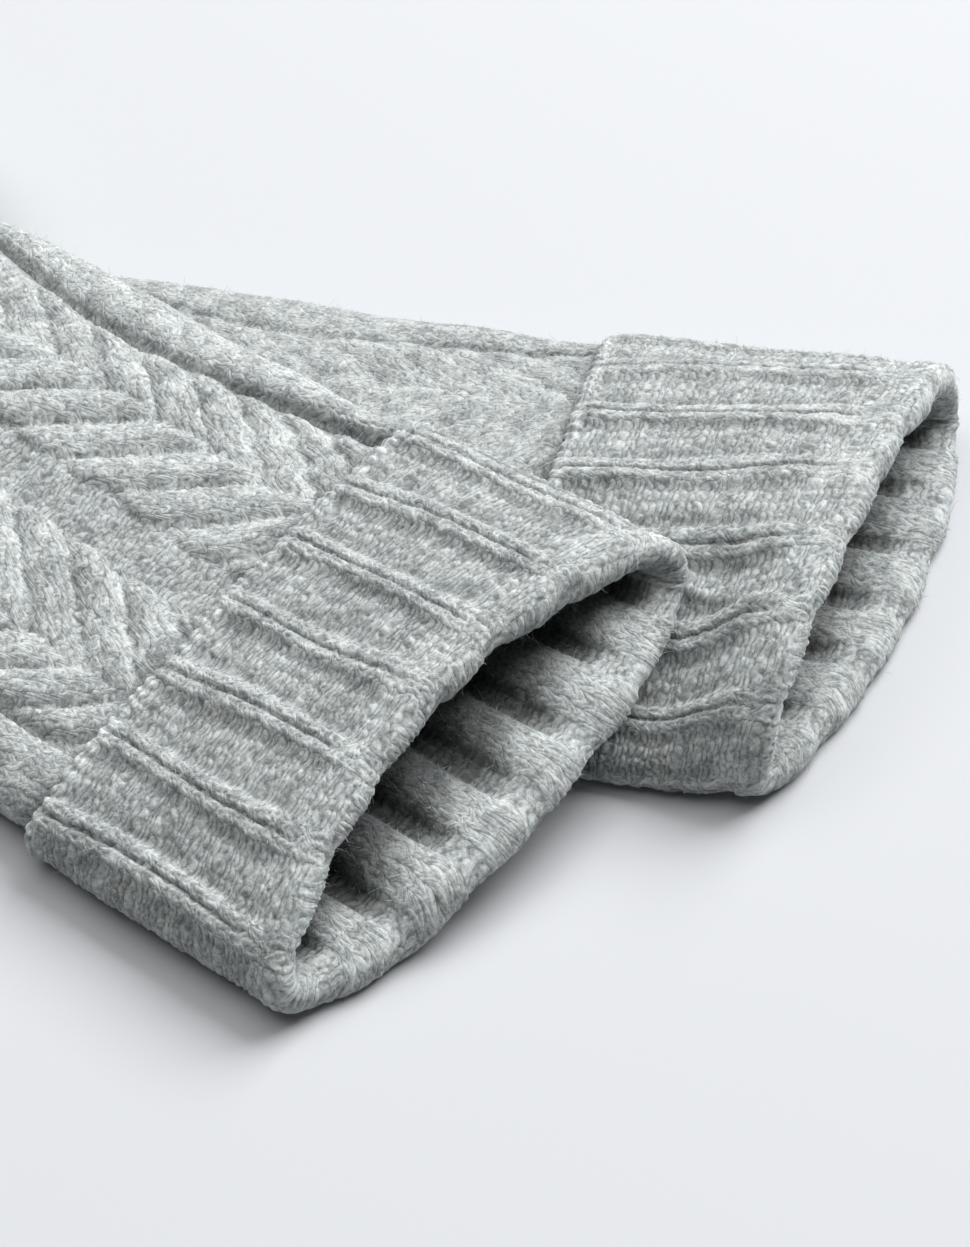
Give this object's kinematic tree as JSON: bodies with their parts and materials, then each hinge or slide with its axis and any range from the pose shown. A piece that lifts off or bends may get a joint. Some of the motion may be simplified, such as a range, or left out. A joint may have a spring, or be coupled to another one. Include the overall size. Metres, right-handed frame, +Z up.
{
  "type": "pair of gloves",
  "caption": "Pair of grey marled wool gloves laid one across the other, with wheat-ear cables on the backs and ribbed cuffs turned back at open mouths.",
  "frame": {"origin": "centre of the pair's bounding box, on the surface that the gloves lie on", "axes": "+Z up. The lower glove lies along X with its mouth towards +X and its fingers towards -X. +Y runs away from the viewer of the picture, whose camera looks along about 13 degrees from +Y"},
  "size_m": [0.2796, 0.1883, 0.0283],
  "materials": {
    "right_cuff": "soft fuzzy marled wool knit, matt",
    "right_hand": "soft fuzzy marled wool knit, matt",
    "right_thumb": "soft fuzzy marled wool knit, matt",
    "right_index": "soft fuzzy marled wool knit, matt",
    "right_middle": "soft fuzzy marled wool knit, matt",
    "right_ring": "soft fuzzy marled wool knit, matt",
    "right_little": "soft fuzzy marled wool knit, matt",
    "left_cuff": "soft fuzzy marled wool knit, matt",
    "left_hand": "soft fuzzy marled wool knit, matt",
    "left_thumb": "soft fuzzy marled wool knit, matt",
    "left_index": "soft fuzzy marled wool knit, matt",
    "left_middle": "soft fuzzy marled wool knit, matt",
    "left_ring": "soft fuzzy marled wool knit, matt",
    "left_little": "soft fuzzy marled wool knit, matt"
  },
  "bodies": {
    "root": {"right_cuff": "right_cuff", "right_hand": "right_hand", "right_thumb": "right_thumb", "right_index": "right_index", "right_middle": "right_middle", "right_ring": "right_ring", "right_little": "right_little", "left_cuff": "left_cuff", "left_hand": "left_hand", "left_thumb": "left_thumb", "left_index": "left_index", "left_middle": "left_middle", "left_ring": "left_ring", "left_little": "left_little"}
  },
  "joints": []
}
